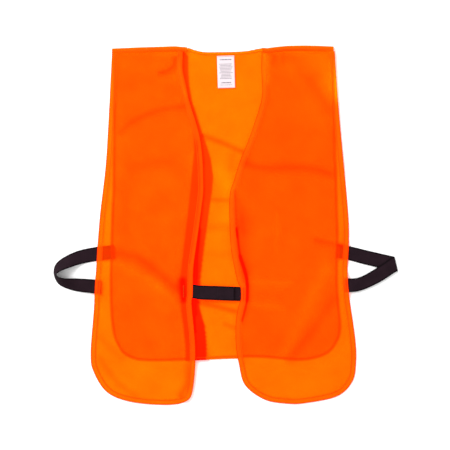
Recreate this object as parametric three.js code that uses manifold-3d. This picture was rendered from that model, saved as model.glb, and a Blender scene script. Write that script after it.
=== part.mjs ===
// Blaze orange vest lying flat, front up: +X to the wearer's left, +Y to the shoulders, +Z up off the table.
// Millimetres. The origin is the bottom centre of the whole vest's box.
import * as THREE from "three";
import { mergeVertices } from "three/addons/utils/BufferGeometryUtils.js";
import Module from "manifold-3d";

const wasm = await Module();
wasm.setup();

// Cloth and webbing
const GAP = 0.3; // clearance between pieces that touch
const PLY = 0.7; // thickness of one panel
const BIND_PLY = 0.5; // thickness of the binding strip, which is folded round the panel's edge
const FRONT_HEM = 10; // how far a front's folded binding reaches in from the edge
const BACK_HEM = 6; // the same round the back and its neckline
const WEBBING = 1.4; // thickness of the elastic and the closure strap
const STRAP_WIDTH = 25.4; // one inch webbing
const PATCH = 0.8; // thickness of the hook and the loop tape
const TACK = 0.4; // height of a bar tack's thread over the cloth
const LABEL = 0.4; // thickness of the folded care label

// Heights of the layers
const BOUND = PLY + 2 * (GAP + BIND_PLY);
const BACK_Z = 0;
const MIDDLE_Z = BACK_Z + BOUND + GAP;
const FRONT_Z = MIDDLE_Z + WEBBING + TACK + 3 * GAP;
const STACK = FRONT_Z + BOUND;
const TOP_OF_BACK = BACK_Z + BIND_PLY + GAP + PLY;
const TOP_OF_FRONT = FRONT_Z + BIND_PLY + GAP + PLY;

// Shoulder seams, which are also the axis that the fronts fold back about
const SHOULDER_Y = 318;
const SEAM_RADIUS = STACK / 2;
const PANEL_TOP = SHOULDER_Y - SEAM_RADIUS - GAP;
const SHOULDER_OUT = { right: -203, left: 197 };
const SHOULDER_IN = { right: -70, left: 66 };

// Closure across the front
const CLOSURE_Y = -123;
const STRAP_FOLD_X = -54; // the strap's free part peels about this line
const STRAP_END_X = 16;
const STRAP_SEWN_X = -78;
const TAB_START_X = -22;
const TAB_SEWN_X = 37.5;
const PATCH_LENGTH = 30;

const ORANGE = 0xff5a08;
const THREAD_ORANGE = 0xf06a18;
const BLACK = 0x2a2126;
const LABEL_WHITE = 0xf2ebee;

const vest = new THREE.Group();

function piece(name, geometry, color, roughness = 0.85) {
  const material = new THREE.MeshStandardMaterial({ color, roughness, metalness: 0 });
  const mesh = new THREE.Mesh(geometry, material);
  mesh.name = name;
  vest.add(mesh);
  return mesh;
}

// A smooth line through hand-set points, as Vector2 at even steps along each stretch.
function smooth(points, stepsEach = 5) {
  const curve = new THREE.SplineCurve(points.map(([x, y]) => new THREE.Vector2(x, y)));
  return curve.getPoints((points.length - 1) * stepsEach);
}

// The line moved sideways by distance, to the left of its direction of travel. An end that meets the shoulder
// keeps to the shoulder line.
function shifted(line, distance) {
  const steepest = 0.5;
  return line.map((p, i) => {
    const before = line[Math.max(i - 1, 0)];
    const after = line[Math.min(i + 1, line.length - 1)];
    const along = after.clone().sub(before).normalize();
    const moved = new THREE.Vector2(p.x - along.y * distance, p.y + along.x * distance);
    if (p.y === PANEL_TOP && Math.abs(along.y) > steepest) {
      moved.addScaledVector(along, (PANEL_TOP - moved.y) / along.y);
    }
    return moved;
  });
}

function slab(outline, bottom, height) {
  const shape = new THREE.Shape(outline);
  const geometry = new THREE.ExtrudeGeometry(shape, { depth: height, bevelEnabled: false });
  geometry.translate(0, 0, bottom);
  return geometry;
}

function solid(geometry) {
  const bare = geometry.clone();
  bare.deleteAttribute("normal");
  bare.deleteAttribute("uv");
  const merged = mergeVertices(bare, 1e-4);
  return new wasm.Manifold(
    new wasm.Mesh({
      numProp: 3,
      vertProperties: new Float32Array(merged.attributes.position.array),
      triVerts: new Uint32Array(merged.index.array),
    }),
  );
}

function geometryOf(manifold) {
  const mesh = manifold.getMesh();
  const geometry = new THREE.BufferGeometry();
  geometry.setAttribute("position", new THREE.BufferAttribute(mesh.vertProperties, 3));
  geometry.setIndex(new THREE.BufferAttribute(mesh.triVerts, 1));
  geometry.computeVertexNormals();
  return geometry;
}

// A binding strip folded round an edge that runs along a line with the panel on its left. It hugs the panel's
// edge from above, from outside and from below.
function binding(edge, bottom, width) {
  const inner = shifted(edge, width).reverse();
  const strip = solid(slab([...edge, ...inner], bottom, BOUND));
  const runOut = 5;
  const slot = shifted(edge, BIND_PLY);
  const first = slot[0].clone().sub(slot[1]).setLength(runOut).add(slot[0]);
  const last = slot.at(-1).clone().sub(slot.at(-2)).setLength(runOut).add(slot.at(-1));
  const slotInner = shifted([first, ...slot, last], 3 * width).reverse();
  const cutter = solid(slab([first, ...slot, last, ...slotInner], bottom + BIND_PLY, PLY + 2 * GAP));
  return geometryOf(strip.subtract(cutter));
}

// A panel inside its bindings: the edges are lines that together go round it anticlockwise.
function panel(edges, bottom) {
  const outline = edges.flatMap((edge) => shifted(edge, BIND_PLY + GAP));
  return slab(outline, bottom + BIND_PLY + GAP, PLY);
}

// A flat strip of webbing between two edge lines, given as matching points from one end to the other.
function ribbon(edgeA, edgeB, thickness, stepsEach = 4) {
  const curves = [edgeA, edgeB].map((edge) => {
    const places = edge.map((p) => new THREE.Vector3(...p));
    return new THREE.CatmullRomCurve3(places);
  });
  const steps = (edgeA.length - 1) * stepsEach;
  const position = [];
  for (let i = 0; i <= steps; i++) {
    const t = i / steps;
    const [a, b] = curves.map((curve) => curve.getPoint(t));
    const [ta, tb] = curves.map((curve) => curve.getTangent(t));
    const normal = b.clone().sub(a).cross(ta.add(tb)).setLength(thickness / 2);
    for (const [edge, side] of [[a, 1], [b, 1], [b, -1], [a, -1]]) {
      position.push(...edge.clone().addScaledVector(normal, side));
    }
  }
  const index = [];
  const quad = (a, b, c, d) => index.push(a, b, c, a, c, d);
  for (let i = 0; i < steps; i++) {
    for (let side = 0; side < 4; side++) {
      const next = (side + 1) % 4;
      quad(4 * i + side, 4 * i + next, 4 * (i + 1) + next, 4 * (i + 1) + side);
    }
  }
  quad(3, 2, 1, 0);
  const end = 4 * steps;
  quad(end, end + 1, end + 2, end + 3);
  const geometry = new THREE.BufferGeometry();
  geometry.setAttribute("position", new THREE.Float32BufferAttribute(position, 3));
  geometry.setIndex(index);
  geometry.computeVertexNormals();
  return geometry;
}

// A block with its low corner, for patches, tabs and the label.
function block(x, y, z, length, width, height) {
  const geometry = new THREE.BoxGeometry(length, width, height);
  geometry.translate(x + length / 2, y + width / 2, z + height / 2);
  return geometry;
}

// A bar tack: a dense zigzag of thread, as one low bar with rounded ends, across the webbing.
function barTack(x, y, z, length, turn = 0) {
  const radius = 1.1;
  const half = length / 2 - radius;
  const shape = new THREE.Shape();
  shape.absarc(0, half, radius, 0, Math.PI, false);
  shape.absarc(0, -half, radius, Math.PI, 2 * Math.PI, false);
  const geometry = new THREE.ExtrudeGeometry(shape, { depth: TACK, bevelEnabled: false, curveSegments: 6 });
  geometry.rotateZ(turn);
  geometry.translate(x, y, z);
  return geometry;
}

// Back panel: one ply, square shoulders, almost straight sides, rounded lower corners, shallow scooped neck.
function buildBack() {
  const side = smooth([
    [SHOULDER_OUT.right, PANEL_TOP],
    [-203, 100],
    [-206, 5],
    [-208.5, -110],
    [-205, -180],
    [-196.5, -213],
    [-177, -237],
    [-132, -246],
    [0, -241],
    [64, -239.5],
    [135, -245],
    [180, -235],
    [202, -213],
    [210, -180],
    [204, -110],
    [205, -20],
    [203, 60],
    [SHOULDER_OUT.left, PANEL_TOP],
  ]);
  const neckDip = 3;
  const neck = smooth([
    [SHOULDER_IN.left, PANEL_TOP],
    [40, PANEL_TOP - 0.7 * neckDip],
    [0, PANEL_TOP - neckDip],
    [-40, PANEL_TOP - 0.7 * neckDip],
    [SHOULDER_IN.right, PANEL_TOP],
  ]);
  piece("back_panel", panel([side, neck], BACK_Z), ORANGE);
  piece("back_edge_binding", binding(side, BACK_Z, BACK_HEM), ORANGE);
  piece("back_neck_binding", binding(neck, BACK_Z, BACK_HEM), ORANGE);
}

// Wearer's right front: its opening edge bows towards the middle at chest height.
function buildRightFront() {
  const edge = smooth([
    [SHOULDER_OUT.right, PANEL_TOP],
    [-213, 126],
    [-225.5, 11],
    [-233, -99],
    [-236, -153],
    [-241.7, -231],
    [-236, -265],
    [-212, -301],
    [-170, -318],
    [-107, -323.6],
    [-70, -317],
    [-57.5, -294],
    [-53, -225],
    [-59.6, -144],
    [-58, -128],
    [-57.4, -104],
    [-55.6, -68],
    [-42.3, 26],
    [-38.2, 74],
    [-43.7, 152],
    [-64, 224],
    [-71, 252],
    [-77, 277],
    [-75.5, 293],
    [SHOULDER_IN.right, PANEL_TOP],
  ]);
  piece("right_front_panel", panel([edge], FRONT_Z), ORANGE);
  piece("right_front_binding", binding(edge, FRONT_Z, FRONT_HEM), ORANGE);
}

// Wearer's left front: the same cut, lying a little further from the middle.
function buildLeftFront() {
  const edge = smooth([
    [SHOULDER_IN.left, PANEL_TOP],
    [65.5, 279],
    [67, 252],
    [65, 222],
    [46, 162],
    [28, 117],
    [17, 82],
    [9.3, 58],
    [8, 25],
    [10.3, -36],
    [16.2, -72],
    [23, -102],
    [27.5, -116],
    [28, -131],
    [24, -147],
    [19.6, -175],
    [19.8, -216],
    [25, -250],
    [36, -288],
    [71, -314],
    [112, -321.5],
    [147, -320],
    [202, -308],
    [229, -282],
    [235.6, -250],
    [234.5, -207],
    [222.7, -122],
    [220.5, -81],
    [222.7, -34],
    [221.6, 20],
    [212, 126],
    [203, 225],
    [SHOULDER_OUT.left, PANEL_TOP],
  ]);
  piece("left_front_panel", panel([edge], FRONT_Z), ORANGE);
  piece("left_front_binding", binding(edge, FRONT_Z, FRONT_HEM), ORANGE);
}

// Overlocked shoulder seams: a roll of thread and seam allowance along the top of each side.
function buildShoulderSeams() {
  for (const side of ["right", "left"]) {
    const [from, to] = [SHOULDER_OUT[side], SHOULDER_IN[side]].sort((a, b) => a - b);
    const roll = new THREE.CylinderGeometry(SEAM_RADIUS, SEAM_RADIUS, to - from, 24);
    roll.rotateZ(Math.PI / 2);
    roll.translate((from + to) / 2, SHOULDER_Y, STACK / 2);
    piece(`${side}_shoulder_seam`, roll, THREAD_ORANGE);
  }
}

// Side elastics: sewn onto the back's side edge, out to the side, round, and back under the front's side edge.
// The wearer's right one turns standing on its edge; the wearer's left one lies in a sharp fold.
function buildSideElastics() {
  const sewnToBack = MIDDLE_Z + WEBBING / 2;
  const sewnToFront = FRONT_Z - GAP - WEBBING / 2;
  const onTable = WEBBING / 2 + 0.5;
  const overLeg = onTable + WEBBING + 2 * GAP;
  piece(
    "right_side_elastic",
    ribbon(
      [
        [-199.5, -35.6, sewnToBack],
        [-208, -36.8, sewnToBack],
        [-235, -40, onTable],
        [-263, -46, onTable],
        [-288, -57, 1.3],
        [-304, -70, 1.6],
        [-308, -86, 1.8],
        [-302, -103, 1.6],
        [-290, -112, 1.2],
        [-268, -119, onTable],
        [-240, -122.5, sewnToFront - 1],
        [-222, -124.5, sewnToFront],
      ],
      [
        [-197.5, -60.5, sewnToBack],
        [-207, -61.7, sewnToBack],
        [-233, -65, onTable],
        [-258, -70, 3],
        [-280, -77, 14],
        [-295, -83, 22],
        [-300.5, -88.5, 24],
        [-296, -93, 22],
        [-287, -95.5, 14],
        [-268, -96, 4],
        [-240, -97.5, sewnToFront - 1],
        [-222, -99.5, sewnToFront],
      ],
      WEBBING,
    ),
    BLACK,
    0.9,
  );
  piece(
    "left_side_elastic",
    ribbon(
      [
        [201, -34.7, sewnToBack],
        [210, -36, sewnToBack],
        [228, -39, onTable],
        [261, -47, onTable],
        [300, -56, onTable],
        [303.5, -57, (onTable + overLeg) / 2],
        [300, -58.5, overLeg],
        [264, -82.5, overLeg],
        [238, -95, overLeg],
        [214, -95.5, sewnToFront],
      ],
      [
        [199, -59.2, sewnToBack],
        [208, -60.4, sewnToBack],
        [224, -63.5, onTable],
        [256, -72, onTable],
        [305.5, -82.5, onTable],
        [309.4, -83.5, (onTable + overLeg) / 2],
        [306, -85, overLeg],
        [276, -104, overLeg],
        [242, -118.5, overLeg],
        [214, -121, sewnToFront],
      ],
      WEBBING,
    ),
    BLACK,
    0.9,
  );
  const across = STRAP_WIDTH - 4;
  const onElastic = MIDDLE_Z + WEBBING + GAP;
  piece("right_elastic_back_tack", barTack(-202.3, -48.4, onElastic, across), THREAD_ORANGE);
  piece("left_elastic_back_tack", barTack(204, -47.4, onElastic, across), THREAD_ORANGE);
  const onHem = STACK + GAP;
  piece("right_elastic_front_tack", barTack(-228, -112, onHem, across, -0.05), THREAD_ORANGE);
  piece("left_elastic_front_tack", barTack(217.5, -109, onHem, across, 0.05), THREAD_ORANGE);
}

// The closure: a strap sewn under the right front reaches over a short tab sewn under the left front, and hook
// tape on the tab holds loop tape under the strap's free end.
function buildClosure() {
  const low = CLOSURE_Y - STRAP_WIDTH / 2;
  const high = CLOSURE_Y + STRAP_WIDTH / 2;
  const baseZ = FRONT_Z - GAP - WEBBING;
  piece(
    "closure_strap_base",
    block(STRAP_SEWN_X, low, baseZ, STRAP_FOLD_X - GAP - STRAP_SEWN_X, STRAP_WIDTH, WEBBING),
    BLACK,
    0.9,
  );
  const tabZ = TOP_OF_BACK + GAP;
  const hookZ = tabZ + WEBBING + GAP;
  const loopZ = hookZ + PATCH + GAP;
  const strapZ = loopZ + PATCH + GAP;
  const middle = WEBBING / 2;
  const along = [
    [STRAP_FOLD_X + GAP, baseZ + middle],
    [-46, baseZ + middle],
    [-30, strapZ + middle],
    [-10, strapZ + middle],
    [STRAP_END_X, strapZ + middle],
  ];
  piece(
    "closure_strap",
    ribbon(
      along.map(([x, z]) => [x, high, z]),
      along.map(([x, z]) => [x, low, z]),
      WEBBING,
    ),
    BLACK,
    0.9,
  );
  const margin = 1.2;
  const patchX = STRAP_END_X - PATCH_LENGTH - margin;
  const patchWidth = STRAP_WIDTH - 2 * margin;
  piece("closure_loop_patch", block(patchX, low + margin, loopZ, PATCH_LENGTH, patchWidth, PATCH), BLACK, 1);
  piece("closure_hook_patch", block(patchX, low + margin, hookZ, PATCH_LENGTH, patchWidth, PATCH), BLACK, 1);
  const tabLength = TAB_SEWN_X - TAB_START_X;
  piece("closure_tab", block(TAB_START_X, low, tabZ, tabLength, STRAP_WIDTH, WEBBING), BLACK, 0.9);
  const across = STRAP_WIDTH - 4;
  piece("closure_strap_tack", barTack(-74.5, CLOSURE_Y, TOP_OF_FRONT + GAP, across), THREAD_ORANGE);
  piece("closure_tab_tack", barTack(33.5, CLOSURE_Y, STACK + GAP, across), THREAD_ORANGE);
}

// Care label: a folded tape hanging from under the neck binding, turned a little.
function buildLabel() {
  const width = 31;
  const height = 58;
  const turn = 0.03;
  const label = block(-width / 2, -height, 0, width, height, LABEL);
  label.rotateZ(turn);
  label.translate(1, PANEL_TOP - 10, TOP_OF_BACK + GAP);
  piece("care_label", label, LABEL_WHITE, 0.7);
}

buildBack();
buildRightFront();
buildLeftFront();
buildShoulderSeams();
buildSideElastics();
buildClosure();
buildLabel();

const box = new THREE.Box3().setFromObject(vest);
const centre = box.getCenter(new THREE.Vector3());
vest.position.set(-centre.x, -centre.y, -box.min.z);

export default vest;
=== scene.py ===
import math

import bmesh
import bpy
import numpy as np
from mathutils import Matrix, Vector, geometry


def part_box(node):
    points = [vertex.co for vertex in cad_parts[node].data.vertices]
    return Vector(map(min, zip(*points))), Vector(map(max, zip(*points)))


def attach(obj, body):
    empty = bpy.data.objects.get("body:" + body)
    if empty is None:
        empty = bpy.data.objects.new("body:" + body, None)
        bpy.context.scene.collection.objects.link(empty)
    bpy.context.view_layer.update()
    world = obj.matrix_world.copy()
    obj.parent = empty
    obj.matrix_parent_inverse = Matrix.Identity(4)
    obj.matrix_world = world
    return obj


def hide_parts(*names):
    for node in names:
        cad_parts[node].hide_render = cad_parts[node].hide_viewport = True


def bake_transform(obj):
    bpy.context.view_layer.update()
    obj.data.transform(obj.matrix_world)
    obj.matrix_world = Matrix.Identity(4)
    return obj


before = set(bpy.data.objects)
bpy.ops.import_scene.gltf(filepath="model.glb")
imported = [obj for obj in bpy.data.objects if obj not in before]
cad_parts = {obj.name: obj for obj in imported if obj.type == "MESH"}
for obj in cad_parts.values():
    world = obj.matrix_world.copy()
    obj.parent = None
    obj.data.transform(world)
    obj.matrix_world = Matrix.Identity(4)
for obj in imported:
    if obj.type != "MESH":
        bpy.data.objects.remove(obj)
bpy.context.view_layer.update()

# A blaze orange vest lying flat, front up. Outlines are in the plan's millimetres: +X to the wearer's left,
# +Y to the shoulders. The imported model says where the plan's zero lies in the row frame.
MM = 0.001
TAB_START_X = -22
PANEL_TOP = 313.9
PLAN_ZERO = np.array([
    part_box("closure_tab")[0][0] / MM - TAB_START_X,
    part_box("right_front_panel")[1][1] / MM - PANEL_TOP,
    0.0,
])
STRAP_WIDTH = (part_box("closure_strap")[1][1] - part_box("closure_strap")[0][1]) / MM

# Cloth
BACK_Z = 1.15  # middle of the back's cloth over the table
TABLE_Z = 1.25  # middle of a front's cloth where it lies on the table
OVER_BACK_Z = 5.2  # middle of a front's cloth where it lies over the back
SEAM_TOP_Z = 5.6  # a front's cloth where it meets its shoulder seam
GRAIN = 4.2  # spacing of a panel's mesh
FRONT_HEM = 10.0  # width of the folded strip
BACK_HEM = 6.0
HEM_STEP = 2.4
PANEL_INSET = 1.6  # a panel's own edge, inside its hem
STITCH_PITCH = 3.3
STITCH_INSET = 1.7  # the stitch row, from the hem's inner edge
STITCH_HEIGHT = 0.56  # the stitch row, from the middle of the hem's cloth
THREAD = 0.24  # radius
FINE_THREAD = 0.22
WEBBING_THICKNESS = 1.3

SHOULDER_OUT = {"right": -203, "left": 197}
SHOULDER_IN = {"right": -67, "left": 66}

# Each outline runs with the cloth on its left.
BACK_SIDE = [
    (SHOULDER_OUT["right"], PANEL_TOP), (-203, 100), (-206, 5), (-208.5, -110), (-205, -180), (-196.5, -213),
    (-177, -237), (-132, -246), (0, -241), (64, -239.5), (135, -245), (180, -235), (202, -213), (210, -180),
    (204, -110), (205, -20), (203, 60), (SHOULDER_OUT["left"], PANEL_TOP),
]
BACK_NECK = [
    (SHOULDER_IN["left"], 322), (58, 319), (49, 315.2), (38, 312.9), (10, 311.4), (-30, 311), (-44, 312.2),
    (-54, 315), (-61, 319), (SHOULDER_IN["right"], 322),
]
RIGHT_FRONT = [
    (SHOULDER_OUT["right"], PANEL_TOP), (-213, 126), (-225.5, 11), (-233, -99), (-236, -153), (-241.7, -231),
    (-236, -265), (-212, -301), (-170, -318), (-107, -323.6), (-70, -317), (-57.5, -294), (-53, -225),
    (-59.6, -144), (-58, -128), (-57.4, -104), (-55.6, -68), (-42.3, 26), (-38.2, 74), (-43.7, 152),
    (-64, 224), (-70, 252), (-75.5, 277), (-76, 293), (-75, PANEL_TOP),
]
LEFT_FRONT = [
    (SHOULDER_IN["left"], PANEL_TOP), (65.5, 279), (67, 252), (65, 222), (46, 162), (28, 117), (17, 82),
    (9.3, 58), (8, 25), (10.3, -36), (16.2, -72), (22.8, -102), (28, -113), (28.5, -133), (24, -148),
    (19.6, -175), (19.8, -216), (25, -250), (36, -288), (71, -314), (112, -321.5), (147, -320), (202, -308),
    (229, -282), (235.6, -250), (234.5, -207), (222.7, -122), (220.5, -81), (222.7, -34), (221.6, 20),
    (212, 126), (203, 225), (SHOULDER_OUT["left"], PANEL_TOP),
]

# The shoulder tops bow down from a straight line: by how much, as (x, rise).
SHOULDER_BOW = [
    (-203, -5.4), (-160, -3.5), (-90, -1.3), (-67, -3.2), (-52, 0), (48, 0), (66, -4), (76, -4.7), (92, -2.5),
    (112, -0.5), (144, 0), (167, -0.5), (197, -1.8),
]

# The back's spare width lies in one flat pleat, folded under: where its two folds run, as (y, x).
PLEAT_OUTER = [
    (-260, -33), (-216, -33.5), (-189, -35.5), (-171, -39), (-153, -44.3), (-140, -46.3), (-90, -43.6),
    (-36, -37), (18, -29.5), (63, -23), (88, -21), (117, -25), (135, -30), (189, -48), (225, -59.4),
    (252, -64), (279, -66), (330, -66),
]
PLEAT_INNER = [
    (-260, -70), (-216, -71), (-189, -74), (-153, -78.5), (-90, -80), (-36, -74), (18, -68), (63, -63),
    (117, -58), (135, -55.8), (176, -57), (207, -64), (234, -71), (270, -80), (304, -83), (330, -83),
]
PLEAT_GATHER_SHADE = [  # how dense its plies look, with the painted shade inside the fold, as (y, gather shade)
    (-246, 1.6), (-238, 0.95), (-180, 0.88), (-75, 0.62), (-20, 0.44), (18, 0.26), (160, 0.24), (320, 0.2),
]
PLEAT_ROUND = 0.9  # how sharply it turns
PLEAT_GAP = 0.6  # between its plies, and between its hems
PLEAT_HEM_GAP = 1.7
PLEAT_HEM_Y = (-230, -216)  # where the gap goes from the one to the other
PLEAT_SLOPE = 9  # the width over which a front comes down from the pleat

# Side elastics: two edge lines each, from the back round the loop to the front, as (x, y, z).
RIGHT_ELASTIC = (
    [
        (-199.5, -35.6, 3.3), (-208, -36.8, 3.3), (-235, -40, 1.2), (-263, -46, 1.2), (-288, -57, 1.3),
        (-304, -70, 1.6), (-308, -86, 1.8), (-302, -103, 1.6), (-290, -112, 1.2), (-268, -119, 1.2),
        (-240, -122.5, 3.3), (-222, -124.5, 4.1),
    ],
    [
        (-197.5, -60.5, 3.3), (-207, -61.7, 3.3), (-233, -65, 1.2), (-258, -70, 3), (-280, -77, 14),
        (-295, -83, 22), (-300.5, -88.5, 24), (-296, -93, 22), (-287, -95.5, 14), (-268, -96, 4),
        (-240, -97.5, 3.3), (-222, -99.5, 4.1),
    ],
)
LEFT_ELASTIC = (
    [
        (201, -34.7, 3.3), (210, -36, 3.3), (228, -39, 1.2), (261, -47, 1.2), (300, -56, 1.2),
        (303.5, -57, 2.2), (300, -58.5, 3.2), (264, -82.5, 3.2), (238, -95, 3.2), (214, -95.5, 4.1),
    ],
    [
        (199, -59.2, 3.3), (208, -60.4, 3.3), (224, -63.5, 1.2), (256, -72, 1.2), (305.5, -82.5, 1.2),
        (309.4, -83.5, 2.2), (306, -85, 3.2), (276, -104, 3.2), (242, -118.5, 3.2), (214, -121, 4.1),
    ],
)

# The closure lies a little askew: how far its middle line is above the CAD's, as (x, rise).
CLOSURE_LIE = [(-78, 4.0), (-57, 3.7), (-46, 2.0), (29, -1.1), (54, -2.1)]

# Creases: (line, width, rise, gather shade). The gather shade paints a crease's shade into the cloth's
# colour, partly as denser gathered cloth; a negative one paints it lighter, as lit, stretched cloth. A shade
# is the painted
# shadow along a sharp fold: it raises nothing, but the mesh follows it closely.
BACK_SHADE = [
    (-40, 63), (-41.4, 45), (-44, 18), (-46.8, -9), (-49.5, -36), (-52, -58), (-53, -90), (-55.8, -140),
    (-55, -160), (-54, -189),
]
BACK_CREASES = [
    ([(-8, 92), (8, 60), (6, 15)], 14, 0, -0.16),
    ([(14, 128), (10, 104)], 8, 0, 0.14),
    (BACK_SHADE, 1.5, 0, 0.8),
    (BACK_SHADE[3:9], 3.8, 0, 1.0),
    ([(-40, 161), (-5, 148), (34, 131)], 4.5, 1.6, 0.45),
    ([(-23, 46), (27, 44)], 4, 0.6, 0.3),
    ([(-27, -4), (27, -5)], 8, 0.5, 0.16),
    ([(-27, -54), (22, -52)], 9, 0.5, 0.12),
    ([(-45, -139), (18, -155)], 4.5, 0.8, 0.45),
    ([(0, -178), (22, -187)], 4, 0.5, 0.25),
]
RIGHT_CREASES = [
    ([(-88, 308), (-92, 288), (-101, 279), (-117, 274)], 4.6, 1.4, 0.6),
    ([(-50, 152), (-44.5, 76), (-48.5, 26), (-58, -40), (-62.5, -68)], 3.4, 0, 0.8),
    ([(-57, 125), (-55, 60)], 8, 0, -0.2),
    ([(-69, -158), (-67, -236)], 9, 0, -0.28),
    ([(-76, -100), (-75, -134)], 9, 0, 1.3),
    ([(-75, 302), (-74, 262), (-69, 235)], 5, 0, -0.45),
    ([(-80, 296), (-84, 276), (-94, 262)], 5, 0.9, -0.2),
    ([(-190, 166), (-162, 189), (-117, 207), (-72, 214)], 4.5, -1.1, 0.4),
    ([(-174, 103), (-135, 110), (-99, 113)], 9, -0.8, 0.18),
    ([(-214, -50), (-162, -57), (-119, -86), (-92, -112)], 9.5, -1.5, 0.45),
    ([(-200, -66), (-150, -92), (-84, -136)], 9, 1.3, -0.22),
    ([(-181, 48), (-179, -10)], 11, -0.7, 0.14),
    ([(-226, -239), (-194, -283), (-162, -306)], 6, -0.9, 0.18),
    ([(-225, -203), (-185, -238)], 7, -0.8, 0.14),
    ([(-150, -170), (-112, -215)], 16, 1.0, -0.1),
    ([(-66, -250), (-68, -285), (-80, -306)], 6, 0.4, 0.42),
]
LEFT_SHADE = [
    (21, -9), (24.3, -36), (27.5, -57.6), (32, -72), (37.4, -90), (40, -106), (40, -119), (39.6, -135),
    (36, -153), (31, -171),
]
LEFT_CREASES = [
    (LEFT_SHADE, 2.4, 0, 1.0),
    (LEFT_SHADE[2:8], 3.4, 0, 0.9),
    ([(18, 62), (19, 25), (22, -20)], 2.0, 0, 0.6),
    ([(28, 30), (30, -10), (34, -50), (41, -84)], 8, 0, 0.3),
    ([(207, -38), (208, -52)], 6, 0, 0.35),
    ([(148, 318), (182, 285), (196, 240)], 22, 0, -0.5),
    ([(72, 316), (73, 288), (74, 262)], 6, 0, -0.4),
    ([(90, 311), (86, 293)], 3.4, -0.9, 0.4),
    ([(105, 309), (104, 293)], 3.4, -0.7, 0.3),
    ([(108, 288), (142, 235), (175, 185)], 13, 1.0, -0.12),
    ([(153, 261), (172, 232), (185, 207)], 7, -0.8, 0.2),
    ([(36, 112), (67, 103), (144, 103), (189, 92)], 8, -1.6, 0.4),
    ([(36, 8), (40, -12)], 12, -0.6, 0.2),
    ([(94, 18), (93, -54)], 5, 0.7, -0.14),
    ([(45, -102), (117, -104)], 4.5, 0.8, -0.22),
    ([(50, -123), (100, -127)], 6, -0.6, 0.14),
    ([(45, -141), (103, -149)], 4.5, 0.8, -0.22),
    ([(182, -77), (144, -153), (108, -229)], 11, 1.3, -0.26),
    ([(193, -135), (157, -189), (117, -239)], 9, -1.0, 0.34),
    ([(162, -27), (198, -34), (214, -36)], 4.5, -0.8, 0.4),
]


# ---- lines and places


def smooth(points, steps=12):
    """A smooth line through given points, which leaves each one along its neighbours' direction."""
    p = np.array(points, float)
    p = np.vstack([p[:1], p, p[-1:]])
    t = np.linspace(0, 1, steps, endpoint=False)[:, None]
    runs = []
    for a, b, c, d in zip(p, p[1:], p[2:], p[3:]):
        into = (c - a) / 2
        out = (d - b) / 2
        runs.append(
            b + into * t + (3 * (c - b) - 2 * into - out) * t**2 + (2 * (b - c) + into + out) * t**3
        )
    return np.vstack(runs + [p[-1:]])


def lengths(line):
    """How far along the line each point lies."""
    return np.concatenate([[0], np.cumsum(np.linalg.norm(np.diff(line, axis=0), axis=1))])


def even(line, spacing):
    """The line's points at equal steps of about spacing."""
    s = lengths(line)
    wanted = np.linspace(0, s[-1], max(2, round(s[-1] / spacing) + 1))
    return np.column_stack([np.interp(wanted, s, line[:, i]) for i in range(line.shape[1])])


def left_of(line):
    """Unit vectors to the left of a flat line's direction of travel."""
    along = np.gradient(line, axis=0)
    along /= np.linalg.norm(along, axis=1)[:, None]
    return np.column_stack([-along[:, 1], along[:, 0]])


def nearest(places, line):
    """Each place's distance from a line, and where on the line it is nearest: a point number and a share."""
    start = line[:-1, :2]
    step = line[1:, :2] - start
    from_start = places[:, None, :2] - start
    share = np.clip((from_start * step).sum(2) / (step**2).sum(1), 0, 1)
    distance = np.linalg.norm(from_start - share[..., None] * step, axis=2)
    stretch = distance.argmin(1)
    row = np.arange(len(places))
    return distance[row, stretch], stretch, share[row, stretch]


def within(places, outline):
    """Each place's distance from a closed outline: positive inside it, negative outside."""
    closed = np.vstack([outline, outline[:1]])
    distance = nearest(places, closed)[0]
    a = closed[:-1]
    b = closed[1:]
    x = places[:, :1]
    y = places[:, 1:2]
    spans = (a[:, 1] > y) != (b[:, 1] > y)
    rise = np.where(b[:, 1] == a[:, 1], 1, b[:, 1] - a[:, 1])
    crossing = a[:, 0] + (y - a[:, 1]) * (b[:, 0] - a[:, 0]) / rise
    inside = (spans & (x < crossing)).sum(1) % 2 == 1
    return np.where(inside, distance, -distance)


def ease(value, low, high):
    """0 at low and 1 at high, with no corners."""
    t = np.clip((value - low) / (high - low), 0, 1)
    return t * t * (3 - 2 * t)


WAVES = 9


def rolling(places, seed, wavelength, height):
    """Soft waves in all directions, the same each run."""
    random = np.random.RandomState(seed)
    total = np.zeros(len(places))
    for _ in range(WAVES):
        turn = random.uniform(0, 2 * math.pi)
        stretch = random.uniform(0.7, 1.5) * wavelength
        heading = np.array([math.cos(turn), math.sin(turn)]) * 2 * math.pi / stretch
        total += np.sin(places[:, :2] @ heading + random.uniform(0, 2 * math.pi))
    return total * height / math.sqrt(WAVES)


def tabled(table, values):
    """A table of pairs, read at each value."""
    keys, results = np.array(table).T
    return np.interp(values, keys, results)


def creased(places, creases):
    """The rise that the creases give each place, and the gather shade that they paint there."""
    rise = np.zeros(len(places))
    gather_shade = np.zeros(len(places))
    for points, width, height, gather_shading in creases:
        line = smooth(points, 6)
        bell = np.exp(-((nearest(places, line)[0] / width) ** 2))
        rise += height * bell
        gather_shade += gather_shading * bell
    return rise, gather_shade


# ---- how each cloth lies


def pleat_folds(y):
    """Where the pleat's outer and inner folds lie."""
    return tabled(PLEAT_OUTER, y), tabled(PLEAT_INNER, y)


def pleat_gap(y):
    """The height between the pleat's plies, which is more where its hem is folded with it."""
    return PLEAT_HEM_GAP + (PLEAT_GAP - PLEAT_HEM_GAP) * ease(y, *PLEAT_HEM_Y)


def pleat_rise(places):
    """How far the pleat lifts what lies on it."""
    y = places[:, 1]
    outer, inner = pleat_folds(y)
    x = places[:, 0]
    across = ease(x, inner - 5, inner) * (1 - ease(x, outer - 1, outer + PLEAT_SLOPE))
    return 2 * pleat_gap(y) * across


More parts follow.
